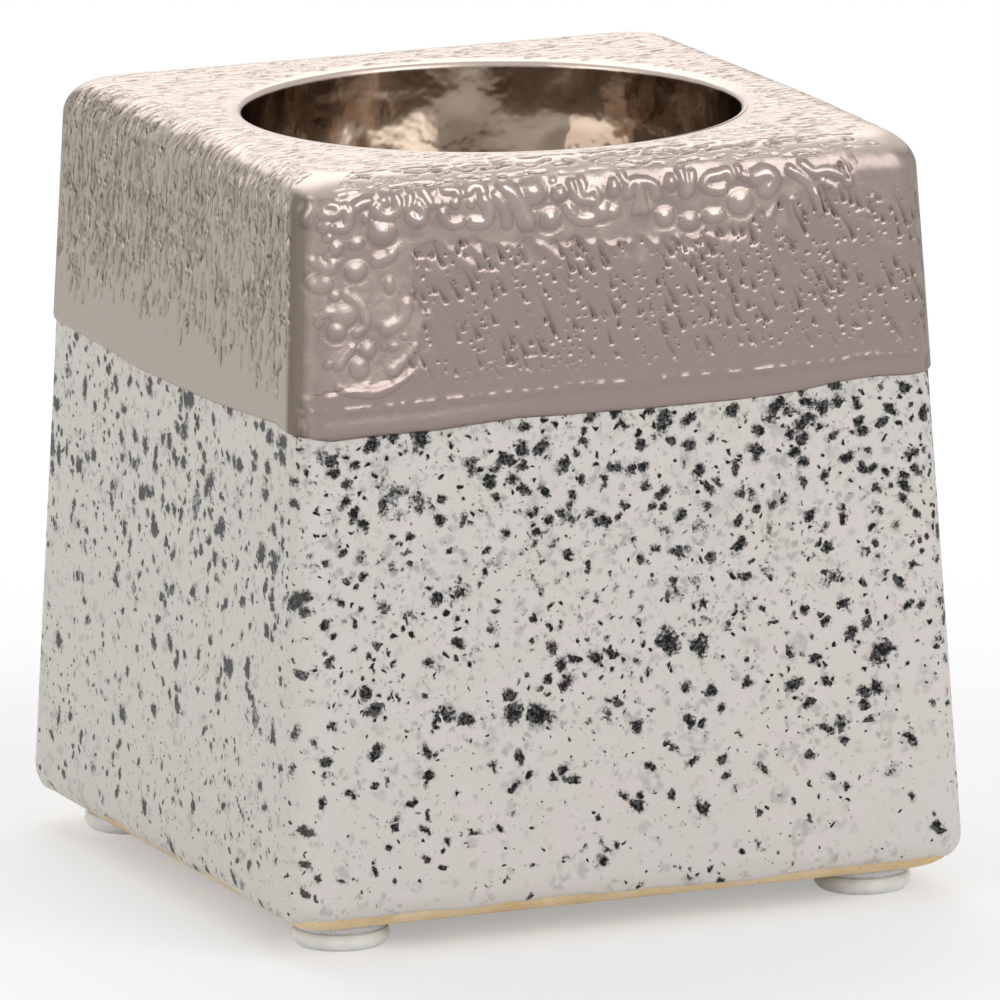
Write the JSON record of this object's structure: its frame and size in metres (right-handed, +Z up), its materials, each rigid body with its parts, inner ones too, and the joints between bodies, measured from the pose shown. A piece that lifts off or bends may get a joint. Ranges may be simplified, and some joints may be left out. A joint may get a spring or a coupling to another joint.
{
  "type": "candle holder",
  "caption": "Square tapering ceramic candle holder with a round well, a speckled glaze body, a textured metallic lustre collar and stick-on feet.",
  "frame": {"origin": "middle of the holder's outline at floor level, under the feet", "axes": "+Z up, along the holder's height; -Y is the front face of the picture, +X to its right"},
  "size_m": [0.0896, 0.0896, 0.0952],
  "materials": {
    "biscuit": "bare fired stoneware, matt buff",
    "speckled_glaze": "satin cream glaze with blue-black speckles",
    "lustre_glaze": "metallic taupe lustre over a textured glaze",
    "bronze_lustre": "mirror-like dark bronze lustre",
    "clear_rubber": "cloudy translucent bumper",
    "adhesive": "pale adhesive foam"
  },
  "bodies": {
    "root": {"outer_shell": "biscuit", "candle_cup": "biscuit", "base_slab": "biscuit", "speckled_glaze": "speckled_glaze", "lustre_collar": "lustre_glaze", "cup_lining": "bronze_lustre", "bumper_foot_front_left": "clear_rubber", "bumper_foot_front_right": "clear_rubber", "bumper_foot_back_left": "clear_rubber", "bumper_foot_back_right": "clear_rubber", "adhesive_disc_front_left": "adhesive", "adhesive_disc_front_right": "adhesive", "adhesive_disc_back_left": "adhesive", "adhesive_disc_back_right": "adhesive"}
  },
  "joints": []
}
